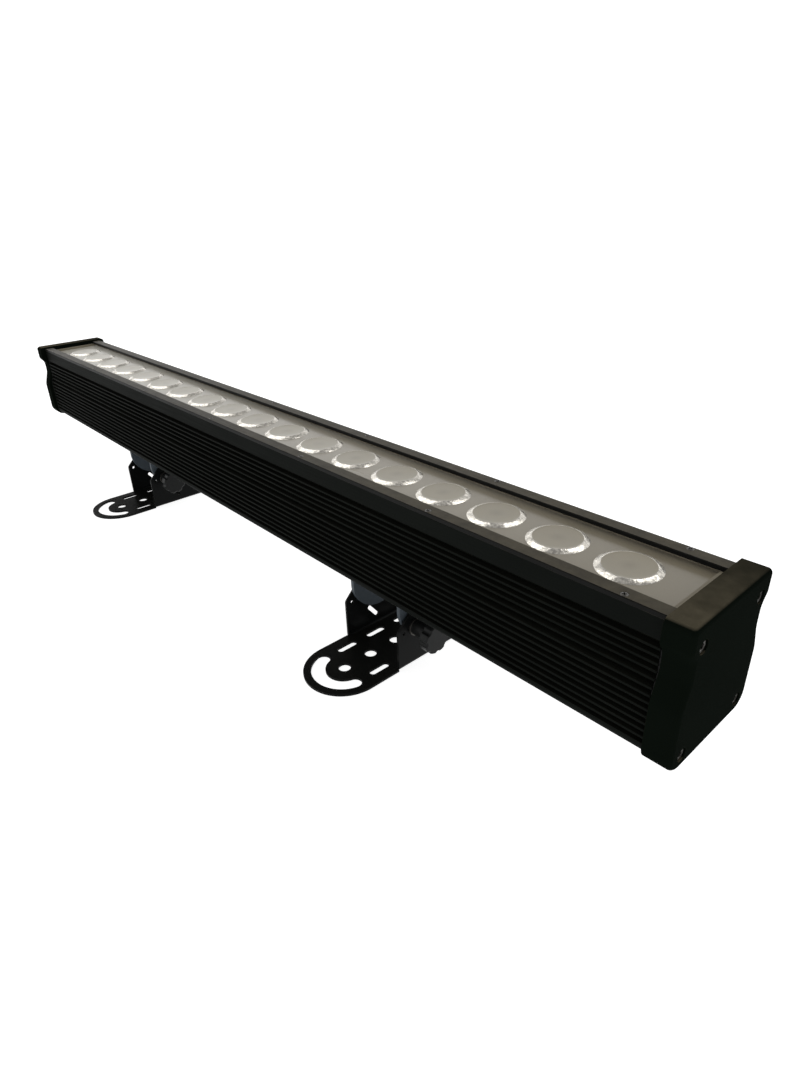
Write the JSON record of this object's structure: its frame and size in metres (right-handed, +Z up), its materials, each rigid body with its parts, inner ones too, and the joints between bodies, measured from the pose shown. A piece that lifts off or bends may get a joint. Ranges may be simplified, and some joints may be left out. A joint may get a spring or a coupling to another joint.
{
  "type": "led batten light",
  "caption": "Long finned bar light with a row of round lenses between screwed strips, cast end caps and perforated tilting feet locked by clamp knobs.",
  "frame": {"origin": "on the floor, in the middle of the four outer base holes of both feet", "axes": "+X along the bar towards the plain end cap, -Y towards the front, where the feet stick out, +Z up, the way the lenses face"},
  "size_m": [1.022, 0.1498, 0.1635],
  "materials": {
    "housing": "black anodised",
    "end_cap": "black powder coat on a casting",
    "strip": "dark bronze grey anodised",
    "panel": "satin warm grey",
    "lens": "clear moulded, looks warm grey",
    "seal": "matte black",
    "screw": "plain steel",
    "board": "white solder mask",
    "emitter": "yellow phosphor",
    "driver": "grey potted case",
    "terminal": "off-white nylon",
    "gland": "black nylon",
    "foot": "satin black",
    "saddle": "light grey",
    "bolt": "zinc plated",
    "knob": "satin black"
  },
  "bodies": {
    "light_bar": {"clamp_strip_back": "strip", "clamp_strip_front": "strip", "clamp_strip_screws": "screw", "clamp_stud_left": "bolt", "clamp_stud_right": "bolt", "clamp_washer_left": "bolt", "clamp_washer_right": "bolt", "driver": "driver", "driver_screws": "screw", "end_cap_left": "end_cap", "end_cap_right": "end_cap", "end_cap_screws": "screw", "end_gasket_left": "seal", "end_gasket_right": "seal", "gland_body": "gland", "gland_locknut": "gland", "gland_nut": "gland", "housing": "housing", "led_board_1": "board", "led_board_2": "board", "led_board_screws": "screw", "led_emitters": "emitter", "lens_01": "lens", "lens_02": "lens", "lens_03": "lens", "lens_04": "lens", "lens_05": "lens", "lens_06": "lens", "lens_07": "lens", "lens_08": "lens", "lens_09": "lens", "lens_10": "lens", "lens_11": "lens", "lens_12": "lens", "lens_13": "lens", "lens_14": "lens", "lens_15": "lens", "lens_16": "lens", "lens_17": "lens", "lens_18": "lens", "lens_plate": "panel", "pivot_bolt_left": "bolt", "pivot_bolt_right": "bolt", "pivot_nut_left": "bolt", "pivot_nut_right": "bolt", "pivot_washers_left": "bolt", "pivot_washers_right": "bolt", "plate_seal": "seal", "saddle_bolts_left": "bolt", "saddle_bolts_right": "bolt", "saddle_left": "saddle", "saddle_right": "saddle", "terminal_block": "terminal"},
    "foot_right": {"foot_right": "foot"},
    "foot_left": {"foot_left": "foot"},
    "knob_right": {"clamp_knob_right": "knob"},
    "knob_left": {"clamp_knob_left": "knob"}
  },
  "joints": [
    {"name": "tilt_right", "type": "hinge", "parent": "light_bar", "child": "foot_right", "pos_m": [0.231, 0.02225, 0.0535], "axis": [1, 0, 0], "range_deg": [-45, 12]},
    {"name": "knob_turn_right", "type": "hinge", "parent": "light_bar", "child": "knob_right", "pos_m": [0.28325, 0.00779, 0.03626], "axis": [1, 0, 0], "range_deg": [0, 360]},
    {"name": "tilt_left", "type": "hinge", "parent": "light_bar", "child": "foot_left", "pos_m": [-0.231, 0.02225, 0.0535], "axis": [1, 0, 0], "range_deg": [-45, 12]},
    {"name": "knob_turn_left", "type": "hinge", "parent": "light_bar", "child": "knob_left", "pos_m": [-0.17875, 0.00779, 0.03626], "axis": [1, 0, 0], "range_deg": [0, 360]}
  ]
}
